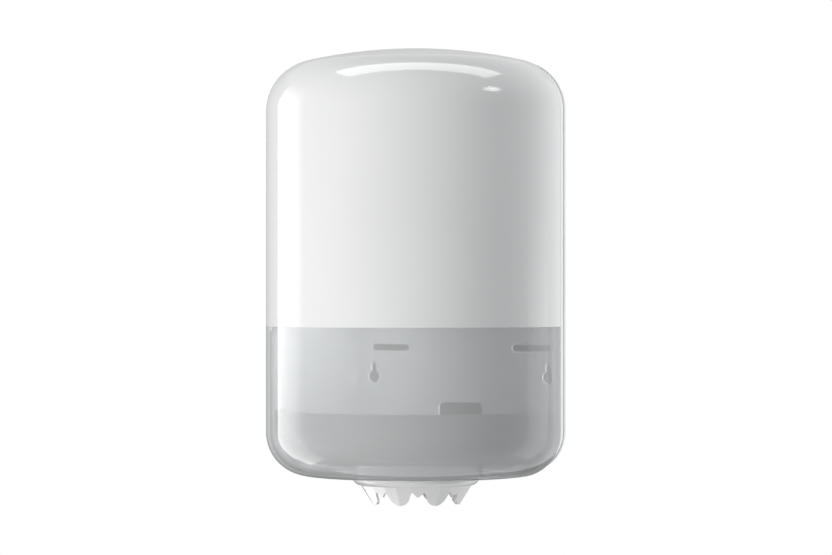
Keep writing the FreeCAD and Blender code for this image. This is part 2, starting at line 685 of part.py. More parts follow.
def make_back_shell():
    """Wall shell: tapered sides, back panel with its openings, lip, hinge knuckles, bosses."""
    body = make_body("back_shell")
    seam_outer = make_sketch(body, "seam_outline", "XZ_Plane", "size.seam_depth")
    add_outline(seam_outer, seam_outline("0"))
    wall_outer = make_sketch(body, "wall_outline", "XZ_Plane", "size.wall_rim_depth")
    add_outline(wall_outer, wall_outline("size.wall_rim_step"))
    loft(body, "AdditiveLoft", "tapered_sides", [seam_outer, wall_outer])
    rim = make_sketch(body, "wall_rim_outline", "XZ_Plane")
    add_outline(rim, wall_outline("0"))
    extrude(body, "Pad", "wall_rim", rim, "size.wall_rim_depth")
    inner_seam = make_sketch(body, "inner_seam_outline", "XZ_Plane", "size.seam_depth")
    add_outline(inner_seam, seam_outline("size.shell_wall"))
    inner_wall = make_sketch(body, "inner_wall_outline", "XZ_Plane", "size.panel_wall")
    add_outline(inner_wall, wall_outline("(size.wall_rim_step + size.shell_wall)"))
    loft(body, "SubtractiveLoft", "hollow", [inner_seam, inner_wall])

    lip_inset = "(size.cover_wall + size.lip_clearance)"
    lip_inner = "(size.cover_wall + size.lip_clearance + size.lip_wall)"
    lip_root = make_sketch(
        body, "lip_root_ring", "XZ_Plane", "size.seam_depth - size.lip_root")
    add_outline(lip_root, seam_outline("(size.shell_wall - size.lip_sink)"))
    add_outline(lip_root, seam_outline(lip_inner))
    extrude(body, "Pad", "lip_root", lip_root, "size.lip_root")
    lip = make_sketch(body, "lip_ring", "XZ_Plane", "size.seam_depth")
    add_outline(lip, seam_outline(lip_inset))
    add_outline(lip, seam_outline(lip_inner))
    extrude(body, "Pad", "lip", lip, "size.lip_reach")

    gaps = make_sketch(body, "lip_gaps", "XZ_Plane", "size.seam_depth")
    add_rectangle(
        gaps, "-size.casing_radius", "size.casing_radius", below_casing_z, "-size.lip_low_end")
    add_rectangle(
        gaps, "-size.lip_lock_gap", "size.lip_lock_gap",
        half_height + " - size.fillet_top", above_casing_z)
    extrude(body, "Pocket", "lip_gap", gaps, "size.lip_reach + size.cut_margin", backwards=True)
    relief = make_sketch(
        body, "hinge_relief_outline", "XZ_Plane", "size.seam_depth - size.hinge_relief")
    add_rectangle(
        relief, "-size.hinge_relief_half_width", "size.hinge_relief_half_width",
        below_casing_z, low_z + " + size.hinge_relief_height")
    extrude(
        body, "Pocket", "hinge_relief", relief,
        "size.hinge_relief + size.lip_reach + size.cut_margin", backwards=True)
    nozzle_cut = make_sketch(body, "nozzle_cut_circle", "XY_Plane", below_casing_z)
    add_circle(nozzle_cut, "0", "-size.nozzle_axis_depth", "size.collar_slot_radius")
    extrude(
        body, "Pocket", "nozzle_cut", nozzle_cut, "size.cut_margin + size.tray_floor_height",
        backwards=True)

    panel_cut = "size.panel_wall + size.cut_margin"
    heads = make_sketch(body, "keyhole_circles", "XZ_Plane")
    necks = make_sketch(body, "keyhole_necks", "XZ_Plane")
    for across in ("size.keyhole_spacing_x/2", "-size.keyhole_spacing_x/2"):
        for along in ("size.keyhole_spacing_z/2", "-size.keyhole_spacing_z/2"):
            add_circle(heads, across, along, "size.keyhole_radius")
            add_rounded_slot(
                necks, across, along, "(%s + size.neck_reach)" % along, "size.neck_width/2")
    extrude(body, "Pocket", "keyhole_heads", heads, panel_cut, backwards=True)
    extrude(body, "Pocket", "keyhole_neck", necks, panel_cut, backwards=True)
    slots = make_sketch(body, "side_slot_outlines", "XZ_Plane")
    for sign in ("-", ""):
        add_level_slot(slots, "(%ssize.slot_centre_x)" % sign, "-size.slot_centre_z")
    extrude(body, "Pocket", "side_slots", slots, panel_cut, backwards=True)
    notch = make_sketch(body, "notch_outline", "XZ_Plane")
    half = "size.notch_width/2"
    notch_low = "(-size.notch_top_z - size.notch_height)"
    add_loop(notch, [
        ("-" + half, notch_low),
        (half, notch_low),
        (half, "-size.notch_top_z - size.notch_corner", "size.notch_corner", 1),
        (half + " - size.notch_corner", "-size.notch_top_z"),
        ("-" + half + " + size.notch_corner", "-size.notch_top_z", "size.notch_corner", 1),
        ("-" + half, "-size.notch_top_z - size.notch_corner"),
    ])
    extrude(body, "Pocket", "notch", notch, panel_cut, backwards=True)

    button_hole = make_sketch(
        body, "button_hole_circle", "XY_Plane",
        half_height + " - size.shell_wall - size.cut_margin")
    add_circle(
        button_hole, "0", "-size.lock_depth", "size.button_radius + size.button_clearance")
    extrude(
        body, "Pocket", "button_hole", button_hole, "size.shell_wall + 2*size.cut_margin",
        backwards=True)

    add_screw_bosses(body)
    hinge_y = "-size.seam_depth"
    copies = []
    for number, left in enumerate(("size.hinge_inner_x", knuckle_outer_x)):
        side_view = make_sketch(body, "back_knuckle_side_%d" % number, "YZ_Plane", left)
        knuckle_outline(side_view, hinge_y, "size.knuckle_root + size.hinge_relief")
        copies.append(extrude(
            body, "Pad", "back_knuckle_%d" % number, side_view, "size.knuckle_length"))
    bore = make_sketch(body, "back_knuckle_bore_circle", "YZ_Plane", "size.hinge_inner_x")
    add_circle(bore, hinge_y, hinge_z, "size.pin_radius")
    copies.append(extrude(
        body, "Pocket", "back_knuckle_bore", bore, "%s - size.hinge_inner_x" % hinge_outer_x,
        backwards=True))
    mirror(body, "left_knuckles", copies)
    return body


def add_screw_bosses(body):
    """Bosses and pilot holes for the tray's and the lock's screws."""
    tray_bosses = make_sketch(body, "tray_boss_circles", "XZ_Plane", "size.panel_wall")
    tray_pilots = make_sketch(
        body, "tray_pilot_circles", "XZ_Plane", "size.panel_wall + size.tray_boss_length")
    lock_bosses = make_sketch(body, "lock_boss_circles", "XY_Plane", housing_top_z)
    lock_pilots = make_sketch(body, "lock_pilot_circles", "XY_Plane", housing_top_z)
    for sign in ("", "-"):
        tray_x = sign + "size.tray_screw_x"
        lock_x = sign + "size.lock_screw_x"
        add_circle(tray_bosses, tray_x, tray_screw_z, "size.tray_boss_radius")
        add_circle(tray_pilots, tray_x, tray_screw_z, pilot_radius)
        add_circle(lock_bosses, lock_x, "-size.lock_depth", "size.lock_boss_radius")
        add_circle(lock_pilots, lock_x, "-size.lock_depth", pilot_radius)
    extrude(body, "Pad", "tray_bosses", tray_bosses, "size.tray_boss_length")
    extrude(body, "Pocket", "tray_pilots", tray_pilots, "size.screw_thread_length")
    extrude(body, "Pad", "lock_bosses", lock_bosses, "size.lock_boss_length + size.shell_wall/2")
    extrude(body, "Pocket", "lock_pilots", lock_pilots, "size.screw_thread_length", backwards=True)


def make_roll_tray():
    """Half-round tray that carries the roll, with its floor, rear flange and hook."""
    body = make_body("roll_tray", "size.nozzle_axis_depth")
    profile = make_sketch(body, "tray_profile", "XZ_Plane")
    inner = "(%s - size.tray_wall)" % tray_radius
    bend_x = "(%s - size.tray_fillet)" % tray_radius
    bend_z = "(%s + size.tray_fillet)" % tray_floor_low_z
    add_loop(profile, [
        ("0", tray_floor_low_z),
        (bend_x, tray_floor_low_z, "size.tray_fillet", 1),
        (tray_radius, bend_z),
        (tray_radius, tray_rim_z),
        (inner, tray_rim_z),
        (inner, bend_z, "(size.tray_fillet - size.tray_wall)", -1),
        (bend_x, tray_floor_top_z),
        ("0", tray_floor_top_z),
    ])
    turn_profile(body, "Revolution", "tray_front", profile, "180", backwards=True)
    ends = make_sketch(body, "tray_end_corner", "YZ_Plane")
    add_loop(ends, [
        ("size.cut_margin", tray_rim_z + " + size.cut_margin"),
        ("-size.tray_end_corner", tray_rim_z + " + size.cut_margin"),
        ("-size.tray_end_corner", tray_rim_z, "size.tray_end_corner", -1),
        ("0", tray_rim_z + " - size.tray_end_corner"),
        ("size.cut_margin", tray_rim_z + " - size.tray_end_corner"),
    ])
    extrude(
        body, "Pocket", "rounded_ends", ends, "2*(%s + size.cut_margin)" % tray_radius,
        midplane=True)

    rear_floor = make_sketch(body, "rear_floor_outline", "XY_Plane", tray_floor_low_z)
    add_loop(rear_floor, [
        ("-" + bend_x, "0"),
        (bend_x, "0"),
        ("size.tray_rear_half_width", tray_rear_y),
        ("-size.tray_rear_half_width", tray_rear_y),
    ])
    extrude(body, "Pad", "rear_floor", rear_floor, "size.tray_wall")
    flange = make_sketch(body, "rear_flange_outline", "XY_Plane", tray_floor_low_z)
    add_rectangle(
        flange, "-size.tray_flange_half_width", "size.tray_flange_half_width",
        tray_rear_y + " - size.tray_wall", tray_rear_y)
    extrude(body, "Pad", "rear_flange", flange, "size.tray_flange_height")
    hook = make_sketch(
        body, "hook_outline", "XY_Plane",
        "%s + size.tray_flange_height - size.hook_wall" % tray_floor_low_z)
    add_rectangle(
        hook, "-size.hook_half_width", "size.hook_half_width",
        tray_rear_y + " - size.tray_wall/2", "(size.nozzle_axis_depth - size.hook_end_gap)")
    extrude(body, "Pad", "hook", hook, "size.hook_wall")

    nozzle_hole = make_sketch(
        body, "nozzle_hole_circle", "XY_Plane", tray_floor_low_z + " - size.cut_margin")
    add_circle(nozzle_hole, "0", "0", "size.spigot_radius + size.spigot_clearance")
    extrude(
        body, "Pocket", "nozzle_hole", nozzle_hole, "size.tray_wall + 2*size.cut_margin",
        backwards=True)
    holes = make_sketch(
        body, "tray_screw_circles", "XZ_Plane", "-%s - size.cut_margin" % tray_rear_y)
    for sign in ("", "-"):
        add_circle(holes, sign + "size.tray_screw_x", tray_screw_z, screw_hole_radius)
    extrude(
        body, "Pocket", "tray_screw_holes", holes, "size.tray_wall + 2*size.cut_margin",
        backwards=True)
    return body


def make_nozzle_collar():
    """Convex collar under the casing, with a spigot up through the tray floor."""
    body = make_body("nozzle_collar", "size.nozzle_axis_depth")
    profile = make_sketch(body, "collar_profile", "XZ_Plane")
    flange_low_z = "(%s - size.collar_wall)" % tray_floor_low_z
    skirt_inner = "(size.collar_radius - size.collar_wall)"
    ring_bore = "(size.petal_ring_radius + size.petal_ring_clearance)"
    add_loop(profile, [
        ("size.spigot_bore", spigot_top_z),
        ("size.spigot_bore", flange_low_z),
        (skirt_inner, flange_low_z),
        (skirt_inner, petal_ring_top_z),
        (ring_bore, petal_ring_top_z),
        (ring_bore, collar_low_z),
        ("size.collar_low_radius", collar_low_z, "size.collar_bulge", 1),
        ("size.collar_radius", low_z + " - size.collar_shoulder_drop"),
        ("size.collar_radius", tray_floor_low_z),
        ("size.spigot_radius", tray_floor_low_z),
        ("size.spigot_radius", spigot_top_z),
    ])
    turn_profile(body, "Revolution", "collar", profile)
    return body


def crown_polygon(sketch, scale):
    """Outline of the petal crown: a ridge on each petal and a flat under each small tooth."""
    corners = []
    for number in range(int(value("size.petal_count"))):
        middle = "(%d*360 + 180)/size.petal_count" % number
        for turn, radius in (("- size.petal_break_angle", "size.petal_break_radius"),
                             ("", "size.petal_ridge_radius"),
                             ("+ size.petal_break_angle", "size.petal_break_radius")):
            angle = "(%s %s)*1deg" % (middle, turn)
            corners.append(("%s*%s*cos(%s)" % (scale, radius, angle),
                            "%s*%s*sin(%s)" % (scale, radius, angle)))
    add_loop(sketch, corners)


def make_nozzle_petals():
    """Crown of eight ridged petals with small teeth between, on a ring that the collar holds."""
    body = make_body("nozzle_petals", "size.nozzle_axis_depth", value("180/size.petal_count"))
    top = make_sketch(body, "crown_top_outline", "XY_Plane", collar_low_z)
    crown_polygon(top, "1")
    tips = make_sketch(
        body, "crown_tip_outline", "XY_Plane", collar_low_z + " - size.petal_length")
    crown_polygon(tips, "size.petal_tip_scale")
    loft(body, "AdditiveLoft", "crown", [top, tips])
    ring = make_sketch(body, "crown_ring_profile", "XZ_Plane")
    ring_inner = "(size.petal_break_radius - size.petal_wall)"
    add_loop(ring, [
        (ring_inner, collar_low_z),
        ("size.petal_ring_radius", collar_low_z),
        ("size.petal_ring_radius", petal_ring_top_z),
        ("(size.collar_radius - size.collar_wall - size.petal_ring_clearance)", petal_ring_top_z),
        ("(size.collar_radius - size.collar_wall - size.petal_ring_clearance)",
         petal_ring_top_z + " + size.petal_flange_wall"),
        (ring_inner, petal_ring_top_z + " + size.petal_flange_wall"),
    ])
    turn_profile(body, "Revolution", "crown_ring", ring)
    inside = make_sketch(body, "crown_inside_profile", "XZ_Plane")
    tip_inner = "(size.petal_break_radius*size.petal_tip_scale - size.petal_wall)"
    add_loop(inside, [
        ("0", collar_low_z + " - size.petal_length"),
        (tip_inner, collar_low_z + " - size.petal_length"),
        (ring_inner, collar_low_z),
        ("0", collar_low_z),
    ])
    turn_profile(body, "Groove", "crown_inside", inside)

    gap = make_sketch(body, "petal_gap_outline", "XZ_Plane")
    tip_z = "(%s - size.petal_length)" % collar_low_z
    tip_x = "(size.petal_tip_scale*size.petal_ridge_radius*sin(180deg/size.petal_count))"
    valley_z = "(%s - size.petal_valley_depth)" % collar_low_z
    side_x = "(%s - size.petal_tip_round)" % tip_x
    add_loop(gap, [
        ("-" + tip_x, tip_z + " - size.cut_margin"),
        (tip_x, tip_z + " - size.cut_margin"),
        (tip_x, tip_z, "size.petal_tip_round", -1),
        (side_x, tip_z + " + size.petal_tip_round"),
        ("size.petal_valley_half_width", valley_z),
        ("0", valley_z + " - size.tooth_length"),
        ("-size.petal_valley_half_width", valley_z),
        ("-" + side_x, tip_z + " + size.petal_tip_round", "size.petal_tip_round", -1),
        ("-" + tip_x, tip_z),
    ])
    cut = extrude(body, "Pocket", "petal_gap", gap, "size.casing_radius", backwards=True)
    polar_pattern(body, "petal_gaps", [cut], "size.petal_count")
    return body


def make_nozzle_lock_ring():
    """Ring nut that clamps the collar to the tray floor."""
    body = make_body("nozzle_lock_ring", "size.nozzle_axis_depth")
    outline = make_sketch(body, "ring_outline", "XY_Plane", tray_floor_top_z)
    add_circle(outline, "0", "0", "size.ring_radius")
    add_circle(outline, "0", "0", "size.spigot_radius")
    extrude(body, "Pad", "ring", outline, "size.ring_height")
    grip = make_sketch(body, "ring_grip_circle", "XY_Plane", tray_floor_top_z)
    add_circle(grip, "0", "size.ring_radius + size.ring_grip_radius/2", "size.ring_grip_radius")
    cut = extrude(body, "Pocket", "ring_grip", grip, "size.ring_height", backwards=True)
    polar_pattern(body, "ring_grips", [cut], "size.ring_grip_count")
    return body


def make_paper_guide():
    """Funnel that leads the paper from the middle of the roll to the nozzle."""
    body = make_body("paper_guide", "size.nozzle_axis_depth")
    profile = make_sketch(body, "guide_profile", "XZ_Plane")
    top_z = "(%s + size.guide_flange_wall)" % spigot_top_z
    neck_z = "(%s - size.guide_depth + size.guide_throat_length)" % spigot_top_z
    end_z = "(%s - size.guide_depth)" % spigot_top_z
    add_loop(profile, [
        ("(size.guide_mouth_radius - size.guide_wall)", top_z),
        ("size.guide_throat_radius", neck_z),
        ("size.guide_throat_radius", end_z),
        ("(size.guide_throat_radius + size.guide_wall)", end_z),
        ("(size.guide_throat_radius + size.guide_wall)", neck_z + " - size.guide_wall/2"),
        ("size.guide_mouth_radius", spigot_top_z),
        ("size.guide_flange_radius", spigot_top_z),
        ("size.guide_flange_radius", top_z),
    ])
    turn_profile(body, "Revolution", "guide", profile)
    return body


def make_hinge_pin(name, side):
    """Headed pin of one bottom hinge, put in from the nozzle's side."""
    body = make_body(name)
    leftward = side < 0
    sign = "-" if leftward else ""
    head = make_sketch(
        body, name + "_head_circle", "YZ_Plane",
        "%s(size.hinge_inner_x - size.pin_head_length)" % sign)
    add_circle(head, "-size.seam_depth", hinge_z, "size.pin_head_radius")
    extrude(body, "Pad", name + "_head", head, "size.pin_head_length", backwards=leftward)
    shank = make_sketch(body, name + "_shank_circle", "YZ_Plane", "%ssize.hinge_inner_x" % sign)
    add_circle(shank, "-size.seam_depth", hinge_z, "size.pin_radius")
    extrude(
        body, "Pad", name + "_shank", shank, "%s - size.hinge_inner_x" % hinge_outer_x,
        backwards=leftward)
    return body


def make_lock_housing():
    """Guide of the push lock, screwed under the top of the back shell by two ears."""
    body = make_body("lock_housing", "size.lock_depth")
    block = make_sketch(body, "housing_block_outline", "XY_Plane", housing_low_z)
    add_rectangle(
        block, "-size.housing_half_width", "size.housing_half_width",
        "-size.housing_half_depth", "size.housing_half_depth")
    extrude(body, "Pad", "housing_block", block, "size.housing_height")
    ears = make_sketch(body, "ear_outline", "XY_Plane", housing_top_z + " - size.ear_wall")
    add_rectangle(
        ears, "-size.ear_half_width", "size.ear_half_width",
        "-size.ear_half_depth", "size.ear_half_depth")
    extrude(body, "Pad", "ears", ears, "size.ear_wall")
    bore = make_sketch(body, "housing_bore_circle", "XY_Plane", housing_low_z)
    add_circle(bore, "0", "0", "size.button_radius + size.button_clearance")
    extrude(body, "Pocket", "housing_bore", bore, "size.housing_height", backwards=True)
    holes = make_sketch(body, "ear_hole_circles", "XY_Plane", housing_top_z + " - size.ear_wall")
    for sign in ("", "-"):
        add_circle(holes, sign + "size.lock_screw_x", "0", screw_hole_radius)
    extrude(body, "Pocket", "ear_holes", holes, "size.ear_wall", backwards=True)
    return body


def make_lock_base():
    """Plate that closes the housing from below and seats the spring."""
    body = make_body("lock_base", "size.lock_depth")
    plate = make_sketch(body, "base_plate_outline", "XY_Plane", base_low_z)
    add_rectangle(
        plate, "-size.housing_half_width", "size.housing_half_width",
        "-size.housing_half_depth", "size.housing_half_depth")
    extrude(body, "Pad", "base_plate", plate, "size.base_wall")
    spigot = make_sketch(body, "base_spigot_circle", "XY_Plane", base_low_z)
    add_circle(
        spigot, "0", "0", "size.button_radius + size.button_clearance - size.base_spigot_clearance")
    extrude(body, "Pad", "base_spigot", spigot, "size.base_wall + size.base_spigot_height")
    hole = make_sketch(body, "stem_hole_circle", "XY_Plane", base_low_z)
    add_circle(hole, "0", "0", "size.stem_radius + size.stem_clearance")
    extrude(
        body, "Pocket", "stem_hole", hole, "size.base_wall + size.base_spigot_height",
        backwards=True)
    return body


def make_lock_button():
    """Push button, flush in the top of the back shell, with the stem that carries the hook."""
    body = make_body("lock_button", "size.lock_depth")
    head = make_sketch(body, "button_circle", "XY_Plane", button_low_z)
    add_circle(head, "0", "0", "size.button_radius")
    extrude(body, "Pad", "button", head, "size.button_length")
    stem = make_sketch(body, "stem_circle", "XY_Plane", arm_top_z)
    add_circle(stem, "0", "0", "size.stem_radius")
    extrude(body, "Pad", "stem", stem, "%s - %s" % (button_low_z, arm_top_z))
    slot = make_sketch(body, "key_slot_outline", "XY_Plane", button_top_z)
    add_rectangle(
        slot, "-size.key_slot_length/2", "size.key_slot_length/2",
        "-size.key_slot_width/2", "size.key_slot_width/2")
    extrude(body, "Pocket", "key_slot", slot, "size.key_slot_depth")
    return body


def make_latch_hook():
    """Arm under the housing whose upright tooth holds the catch of the cover."""
    body = make_body("latch_hook", "size.lock_depth")
    side_view = make_sketch(body, "hook_side", "YZ_Plane")
    tooth_rear = "(size.lock_depth - %s)" % tooth_rear_depth
    tooth_front = "(%s - size.tooth_wall)" % tooth_rear
    tooth_top_z = "(%s + size.tooth_bite)" % catch_low_z
    add_loop(side_view, [
        ("size.stem_radius", "%s - size.arm_wall" % arm_top_z),
        ("size.stem_radius", arm_top_z),
        (tooth_rear, arm_top_z),
        (tooth_rear, tooth_top_z + " - size.tooth_wall/2"),
        (tooth_rear + " - size.tooth_wall/2", tooth_top_z),
        (tooth_front, tooth_top_z),
        (tooth_front, "%s - size.arm_wall" % arm_top_z),
    ])
    extrude(body, "Pad", "hook", side_view, "size.arm_half_width*2", midplane=True)
    return body


def make_cover_catch():
    """Angle piece screwed inside the top of the cover, whose lip the hook holds."""
    body = make_body("cover_catch")
    side_view = make_sketch(body, "catch_side", "YZ_Plane")
    rear = "-" + catch_rear_depth
    front = "(-%s - size.catch_plate_length)" % catch_rear_depth
    add_loop(side_view, [
        (rear, catch_top_z),
        (front, catch_top_z),
        (front, catch_top_z + " - size.catch_wall"),
        (rear + " - size.catch_wall", catch_top_z + " - size.catch_wall"),
        (rear + " - size.catch_wall", catch_low_z),
        (rear, catch_low_z),
    ])
    extrude(body, "Pad", "catch", side_view, "size.catch_half_width*2", midplane=True)
    holes = make_sketch(body, "catch_hole_circles", "XY_Plane", catch_top_z)
    for sign in ("", "-"):
        add_circle(
            holes, sign + "size.catch_screw_x",
            "(-size.seam_depth - size.catch_screw_reach)", screw_hole_radius)
    extrude(body, "Pocket", "catch_holes", holes, "size.catch_wall")
    return body


def make_lock_spring():
    """Compression spring between the lock's base and its button."""
    helix = doc.addObject("Part::Helix", "spring_path")
    low = "(%s + size.base_spigot_height + size.spring_wire)" % housing_low_z
    height = "(%s - size.spring_wire - %s)" % (button_low_z, low)
    helix.setExpression("Radius", "size.spring_radius")
    helix.setExpression("Height", height)
    helix.setExpression("Pitch", "%s/size.spring_turns" % height)
    wire = doc.addObject("Part::Circle", "spring_wire_circle")
    wire.setExpression("Radius", "size.spring_wire")
    wire.Placement = FreeCAD.Placement(
        FreeCAD.Vector(0, 0, 0), FreeCAD.Rotation(FreeCAD.Vector(1, 0, 0), 90))
    wire.setExpression("Placement.Base.x", "size.spring_radius")
    doc.recompute()
    spring = doc.addObject("Part::Sweep", "lock_spring")
    spring.Label = "lock_spring"
    spring.Sections = [wire]
    spring.Spine = (helix, ["Edge1"])
    spring.Solid = True
    spring.Frenet = True
    spring.setExpression("Placement.Base.y", "-size.lock_depth")
    spring.setExpression("Placement.Base.z", low)
    doc.recompute()
    return spring


def make_screws(name, seats, axis, grip):
    """Pan-head screws at their head seats; axis is the way the thread points."""
    turn = FreeCAD.Rotation(FreeCAD.Vector(0, 0, 1), FreeCAD.Vector(*axis))
    screws = []
    for number, seat in enumerate(seats):
        parts = []
        for kind, radius, height, start in (
                ("shank", "size.screw_shank_radius", "%s + size.screw_thread_length" % grip, "0"),
                ("head", "size.screw_head_radius", "size.screw_head_height",
                 "-size.screw_head_height")):
            cylinder = doc.addObject("Part::Cylinder", "%s_%s_%d" % (name, kind, number))
            cylinder.setExpression("Radius", radius)
            cylinder.setExpression("Height", height)
            cylinder.Placement = FreeCAD.Placement(FreeCAD.Vector(0, 0, 0), turn)
            for direction, place, along in zip("xyz", seat, axis):
                cylinder.setExpression(
                    "Placement.Base." + direction, "%s + (%s)*(%d)" % (place, start, along))
            parts.append(cylinder)
        screw = doc.addObject("Part::Fuse", "%s_screw_%d" % (name, number))
        screw.Base, screw.Tool = parts
        screws.append(screw)
    group = doc.addObject("Part::Compound", name)
    group.Label = name
    group.Links = screws
    doc.recompute()
    return group


def make_all_screws():
    """The three sets of screws: tray, lock housing and cover catch."""
    tray_seats = []
    lock_seats = []
    catch_seats = []
    for sign in ("", "-"):
        tray_seats.append((
            sign + "size.tray_screw_x",
            "(%s - size.tray_wall - size.nozzle_axis_depth)" % tray_rear_y, tray_screw_z))
        lock_seats.append((
            sign + "size.lock_screw_x", "-size.lock_depth", housing_top_z + " - size.ear_wall"))
        catch_seats.append((
            sign + "size.catch_screw_x", "(-size.seam_depth - size.catch_screw_reach)",
            catch_top_z + " - size.catch_wall"))
    return [
        make_screws("tray_screws", tray_seats, (0, 1, 0), "(size.tray_wall + size.tray_seat_gap)"),
        make_screws("lock_screws", lock_seats, (0, 0, 1), "size.ear_wall"),
        make_screws("catch_screws", catch_seats, (0, 0, 1), "size.catch_wall"),
    ]


pieces = []
pieces.append(make_cover_upper())
pieces.append(make_cover_window())
pieces.append(make_back_shell())
pieces.append(make_roll_tray())
pieces.append(make_nozzle_collar())
pieces.append(make_nozzle_petals())
pieces.append(make_nozzle_lock_ring())
pieces.append(make_paper_guide())
pieces.append(make_hinge_pin("hinge_pin_right", 1))
pieces.append(make_hinge_pin("hinge_pin_left", -1))
pieces.append(make_lock_housing())
pieces.append(make_lock_base())
pieces.append(make_lock_button())
pieces.append(make_latch_hook())
pieces.append(make_cover_catch())
pieces.append(make_lock_spring())
pieces.extend(make_all_screws())

doc.recompute()
failed = [o.Label for o in doc.Objects if "Invalid" in o.State or "Error" in o.State]
if failed:
    raise RuntimeError("failed objects: " + ", ".join(failed))
for piece in pieces:
    if piece.Shape.isNull() or not piece.Shape.isValid():
        raise RuntimeError("bad shape: " + piece.Label)
    print(piece.Label, "solids", len(piece.Shape.Solids), "volume", round(piece.Shape.Volume, 1),
          piece.Shape.BoundBox)

os.makedirs("parts", exist_ok=True)
for piece in pieces:
    piece.Shape.exportStep("parts/%s.step" % piece.Label)
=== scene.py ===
# Looks of the centrefeed roll dispenser: plastics, metals, studio light and camera.
import math

import bpy
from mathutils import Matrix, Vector

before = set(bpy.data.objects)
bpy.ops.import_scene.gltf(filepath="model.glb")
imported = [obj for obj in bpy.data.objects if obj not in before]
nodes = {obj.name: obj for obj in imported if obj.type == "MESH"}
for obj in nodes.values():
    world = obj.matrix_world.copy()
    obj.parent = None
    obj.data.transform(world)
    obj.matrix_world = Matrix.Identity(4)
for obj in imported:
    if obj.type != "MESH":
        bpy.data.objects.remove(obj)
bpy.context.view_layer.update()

scene = bpy.context.scene
scene.view_settings.view_transform = "Standard"

# Lengths are in metres, azimuths in degrees from the camera's side, lamps in watts.

# Where the photograph was taken from, relative to the vertical axis of the nozzle.
NOZZLE_AXIS = Vector((0, -0.108, 0))
CAMERA_AZIMUTH = math.radians(20)
CAMERA_DISTANCE = 2.6
CAMERA_HEIGHT = -0.0227
CAMERA_PITCH = math.radians(0.27)
CAMERA_LENS = 142.9
SENSOR_WIDTH = 36

# Noise: waves per metre of the changes of tone and of polish, and the values that count.
NOISE_DETAIL = 4
NOISE_RANGE = (0.3, 0.7)
TONE_WAVES = 14
POLISH_WAVES = 60
RELIEF_DEPTH = 0.0001

# Moulded plastic: how much its tone and its polish change from place to place.
PLASTIC_IOR = 1.5
PLASTIC_GLOSS = 0.5
TONE_CHANGE = 0.02
POLISH_CHANGE = 0.15

# Plated or drawn metal: its fine streaks.
STREAK_WAVES = 400
STREAK_TONE = 0.15
STREAK_POLISH = 0.3
STREAK_RELIEF = 0.15

# Smoky window: tint of the clear part straight through and along the wall, and how fast one
# gives way to the other.
CLEAR_TINT = (0.95, 0.96, 0.965)
EDGE_TINT = (0.05, 0.05, 0.05)
EDGE_POWER = 6

# Its haze: share of the wall that it takes from outside and from inside, how much more it
# takes for light that goes in, and the share of its light that it scatters forward.
HAZE_COLOUR = (0.95, 0.965, 0.97)
HAZE_ROUGHNESS = 0.3
OUTER_HAZE = 0.42
INNER_HAZE = 0.06
SHADOW_HAZE = 1.45
FORWARD_SHARE = 0.05

# Its mirror: share of light from straight ahead, how it grows to the side, and the polish.
MIRROR_LEAST = 0.04
MIRROR_POWER = 5
WINDOW_POLISH = (0.05, 0.07)

# Lamps: azimuth, distance, height, width, length and power.
LAMPS = {
    "key": (-55, 2.2, -0.1, 1.2, 1.6, 34.5),
    "rim": (124, 1.6, 0, 0.8, 1.6, 18),
    "fill": (50, 1.8, 0.1, 1.0, 1.4, 3.2),
    "low": (-45, 1.4, -0.9, 0.5, 0.5, 1.8),
    "low_rim": (125, 0.8, -1.15, 0.6, 0.6, 5),
    "overhead": (90, 0.5, 1.3, 0.8, 0.8, 3.5),
}
KEY_COLOUR = (1, 0.992, 0.982)
NEARLY_OVERHEAD = 0.1

# The weak lamp in the roll space.
INNER_SIZE = 0.08
INNER_POWER = 0.042
INNER_SPREAD = math.radians(100)
INNER_PLACE = Vector((-0.005, -0.14, 0.0))
INNER_AIM = Vector((-0.107, -0.075, -0.07))

# Flat cards that are mirrored: azimuth, distance, height, width and length.
STRIP = (-109, 1.6, -0.15, 1.1, 2.8)
RIGHT_STRIP = (105, 1.6, -0.35, 0.75, 1.7)
TOP_CARD = (90, 0.04, 1.155, 1.6, 0.445)
LOW_CARD = (0, 0, -1.05, 1.06, 1.06)
SPOT = (65, 1.8, 1.2, 0.66, 0.42)
SPOT_CORNERS = 48

# How bright they are: the even ones, and how much brighter than the studio the others are.
TOP_GLOW = 5.5
LOW_GLOW = 1.3
STRIP_EXTRA = 3.4
RIGHT_STRIP_EXTRA = 0.7
SPOT_EXTRA = 9

# Where the strips fade, from none to full: the far edge, the slope towards us and the tops.
STRIP_EDGE = (0.5, 0.25)
STRIP_SLOPE = (0.385, -0.275)
SLOPE_SHARE = 0.45
STRIP_TOP = (1.3, 0.3)
RIGHT_STRIP_TOP = (0.5, 0.2)

# The card behind the dispenser: azimuths and heights, and its grey from foot to top.
CARD_START = 148
CARD_END = 233
CARD_STEPS = 24
CARD_FOOT = 0.05
CARD_RADIUS = 1.9
CARD_LOW = -1.1
CARD_HIGH = 1.0
CARD_DARK = 0.1
CARD_RISE = 0.7

# Studio surroundings: the light that they give.
STUDIO_TINT = (0.97, 0.985, 1)
STUDIO_LIGHT = 0.35

# Floor: its grey for the light, and its paint and own light for the camera.
FLOOR_SIZE = 12
FLOOR_PLACE = (0, -1, -2.6)
FLOOR_GREY = (0.45, 0.45, 0.45)
FLOOR_SEEN = (0.8, 0.8, 0.8)
FLOOR_GLOW = 0.75

# The stretch of wall behind the openings of the back panel, painted near-black for the shade
# behind the shell.
WALL_GAP = 0.0005
WALL_PAINTED_SHADE = (0.05, 0.05, 0.05)
PATCH_WIDTH = 0.167
PATCH_LOW = -0.15
PATCH_HIGH = 0.112


